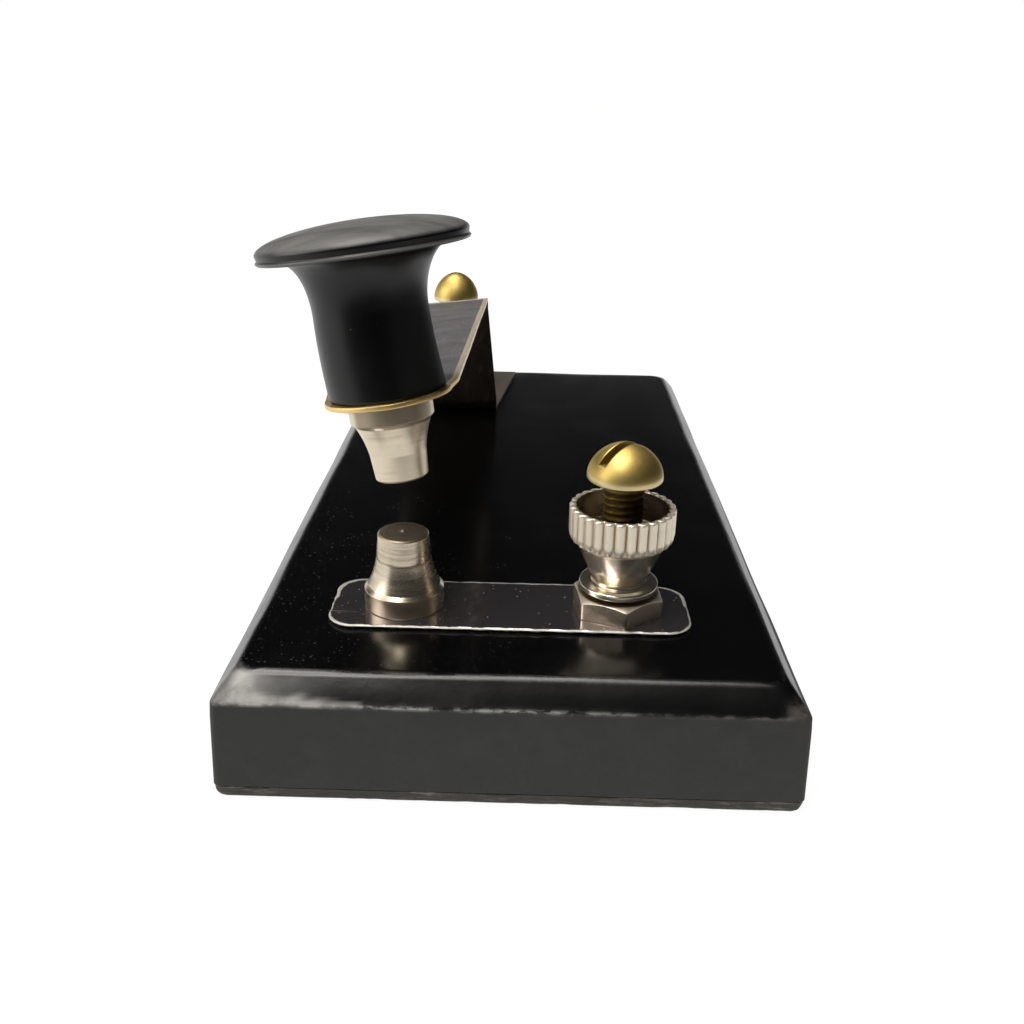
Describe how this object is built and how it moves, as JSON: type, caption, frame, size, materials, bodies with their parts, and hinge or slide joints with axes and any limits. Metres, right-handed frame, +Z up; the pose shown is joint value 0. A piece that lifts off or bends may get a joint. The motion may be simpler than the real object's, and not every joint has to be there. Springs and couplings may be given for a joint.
{
  "type": "tapping key",
  "caption": "Tapping key: a bent spring strip holds a mushroom knob and a turned contact over a fixed contact, on a bevelled black block with thumb-nut wire terminals.",
  "frame": {"origin": "middle of the base's underside, on the surface that it stands on", "axes": "+X to the right, +Y from the knob's end to the rear terminal's end, +Z up"},
  "size_m": [0.05, 0.1, 0.0468],
  "materials": {
    "lacquer": "glossy black lacquer, worn along the bevels",
    "sheet": "matt",
    "nickel": "aged nickel plate with turning marks",
    "brass": "satin",
    "strip": "dull grey patina, brass at the edges",
    "steel": "plain",
    "knob": "worn satin black"
  },
  "bodies": {
    "base": {"base_block": "lacquer", "base_sheet": "sheet", "contact_plate": "nickel", "lower_contact": "nickel", "lower_contact_screw": "steel", "lower_contact_washer": "steel", "front_terminal_screw": "brass", "front_terminal_hex_nut": "nickel", "front_terminal_under_washer": "steel", "front_terminal_under_nut": "steel", "rear_terminal_screw": "brass", "rear_terminal_hex_nut": "nickel", "rear_terminal_under_washer": "steel", "rear_terminal_under_nut": "steel", "spring_strip": "strip"},
    "lever": {"knob": "knob", "knob_insert": "brass", "upper_contact": "nickel"},
    "front_thumb_nut": {"front_terminal_thumb_nut": "nickel"},
    "rear_thumb_nut": {"rear_terminal_thumb_nut": "nickel"}
  },
  "joints": [
    {"name": "lever_press", "type": "hinge", "parent": "base", "child": "lever", "pos_m": [-0.0111, 0.0253, 0.02747], "axis": [1, 0, 0], "range_deg": [0, 4.75], "stiffness_Nm_per_rad": 1.4, "springref_deg": -0.11, "deforming": ["spring_strip"]},
    {"name": "front_nut_lift", "type": "slide", "parent": "base", "child": "front_thumb_nut", "axis": [0, 0, 1], "range_m": [-0.00035, 0.0063]},
    {"name": "rear_nut_lift", "type": "slide", "parent": "base", "child": "rear_thumb_nut", "axis": [0, 0, 1], "range_m": [-0.00035, 0.0065]}
  ]
}
